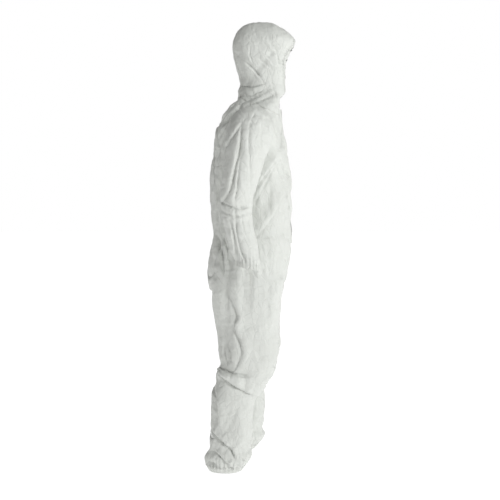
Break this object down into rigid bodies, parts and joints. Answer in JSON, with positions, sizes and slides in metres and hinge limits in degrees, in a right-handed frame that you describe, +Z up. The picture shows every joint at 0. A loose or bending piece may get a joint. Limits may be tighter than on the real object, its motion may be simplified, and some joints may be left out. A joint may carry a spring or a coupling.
{
  "type": "chemical protective suit",
  "caption": "White disposable hooded coverall with elasticated openings and a front zip under a storm flap; its hood and limbs hinge.",
  "frame": {"origin": "midway between the wearer's two shoulder axes, inside the chest, where the shoulders hold the garment up", "axes": "+Z up to the crown of the hood, -Y the way the wearer faces, +X the wearer's left; as worn, standing, with the left foot a little in front"},
  "size_m": [0.69, 0.3441, 1.74],
  "materials": {
    "shell_fabric": "matt white nonwoven with a faint sheen",
    "hem_fabric": "the same nonwoven, folded and gathered",
    "seam_thread": "serged white thread",
    "elastic_web": "white covered elastic",
    "label_cloth": "blank white satin label",
    "zip_tape": "woven white tape",
    "zip_plastic": "white nylon coil",
    "slider_metal": "pale grey enamel",
    "adhesive_tape": "adhesive strip under its release film"
  },
  "bodies": {
    "torso": {"collar": "shell_fabric", "back_panel_right": "shell_fabric", "back_panel_left": "shell_fabric", "back_seam": "seam_thread", "waist_elastic": "elastic_web", "neck_seam": "seam_thread", "care_label": "label_cloth", "front_panel_right": "shell_fabric", "front_panel_left": "shell_fabric", "side_seam_right": "seam_thread", "side_seam_left": "seam_thread", "shoulder_seam_right": "seam_thread", "shoulder_seam_left": "seam_thread", "armhole_seam_right": "seam_thread", "armhole_seam_left": "seam_thread", "zip_tape_right": "zip_tape", "zip_tape_left": "zip_tape", "zip_teeth_right": "zip_plastic", "zip_teeth_left": "zip_plastic", "zip_top_stop_right": "zip_plastic", "zip_top_stop_left": "zip_plastic", "zip_bottom_stop": "zip_plastic", "flap_base": "shell_fabric"},
    "hood": {"hood_centre_panel": "shell_fabric", "chin_panel": "shell_fabric", "face_hem": "hem_fabric", "face_elastic": "elastic_web", "hood_panel_right": "shell_fabric", "hood_panel_left": "shell_fabric", "hood_seam_right": "seam_thread", "hood_seam_left": "seam_thread"},
    "zip_slider": {"zip_slider": "slider_metal"},
    "zip_pull": {"pull_tab": "slider_metal"},
    "storm_flap": {"storm_flap": "shell_fabric", "flap_adhesive": "adhesive_tape"},
    "upper_arm_right": {"sleeve_upper_right": "shell_fabric"},
    "forearm_right": {"sleeve_lower_right": "shell_fabric", "wrist_hem_right": "hem_fabric", "wrist_elastic_right": "elastic_web"},
    "thigh_right": {"leg_upper_right": "shell_fabric"},
    "shin_right": {"leg_lower_right": "shell_fabric", "ankle_hem_right": "hem_fabric", "ankle_elastic_right": "elastic_web"},
    "upper_arm_left": {"sleeve_upper_left": "shell_fabric"},
    "forearm_left": {"sleeve_lower_left": "shell_fabric", "wrist_hem_left": "hem_fabric", "wrist_elastic_left": "elastic_web"},
    "thigh_left": {"leg_upper_left": "shell_fabric"},
    "shin_left": {"leg_lower_left": "shell_fabric", "ankle_hem_left": "hem_fabric", "ankle_elastic_left": "elastic_web"}
  },
  "joints": [
    {"name": "hood_tilt", "type": "hinge", "parent": "torso", "child": "hood", "pos_m": [0, -0.042, 0.22], "axis": [1, 0, 0], "range_deg": [-30, 35]},
    {"name": "zip_slide", "type": "slide", "parent": "torso", "child": "zip_slider", "axis": [0, 0.0874, 0.9962], "range_m": [-0.5426, 0]},
    {"name": "pull_tab_swing", "type": "hinge", "parent": "zip_slider", "child": "zip_pull", "pos_m": [0, -0.11721, 0.11235], "axis": [-1, 0, 0], "range_deg": [0, 120]},
    {"name": "storm_flap_swing", "type": "hinge", "parent": "torso", "child": "storm_flap", "pos_m": [-0.03, -0.1451, -0.15757], "axis": [0, -0.0874, -0.9962], "range_deg": [0, 120]},
    {"name": "shoulder_right", "type": "hinge", "parent": "torso", "child": "upper_arm_right", "pos_m": [-0.2002, -0.008, 0], "axis": [-1, 0, 0], "range_deg": [-30, 90]},
    {"name": "elbow_right", "type": "hinge", "parent": "upper_arm_right", "child": "forearm_right", "pos_m": [-0.286, 0.045, -0.265], "axis": [-1, 0, 0], "range_deg": [0, 85]},
    {"name": "hip_right", "type": "hinge", "parent": "torso", "child": "thigh_right", "pos_m": [-0.1, 0.005, -0.54], "axis": [-1, 0, 0], "range_deg": [-20, 50]},
    {"name": "knee_right", "type": "hinge", "parent": "thigh_right", "child": "shin_right", "pos_m": [-0.112, 0.005, -0.89], "axis": [1, 0, 0], "range_deg": [0, 60]},
    {"name": "shoulder_left", "type": "hinge", "parent": "torso", "child": "upper_arm_left", "pos_m": [0.2002, -0.008, 0], "axis": [-1, 0, 0], "range_deg": [-30, 90]},
    {"name": "elbow_left", "type": "hinge", "parent": "upper_arm_left", "child": "forearm_left", "pos_m": [0.286, 0.045, -0.265], "axis": [-1, 0, 0], "range_deg": [0, 85]},
    {"name": "hip_left", "type": "hinge", "parent": "torso", "child": "thigh_left", "pos_m": [0.1, 0.005, -0.54], "axis": [-1, 0, 0], "range_deg": [-20, 50]},
    {"name": "knee_left", "type": "hinge", "parent": "thigh_left", "child": "shin_left", "pos_m": [0.112, -0.01301, -0.89], "axis": [1, 0, 0], "range_deg": [0, 60]}
  ]
}
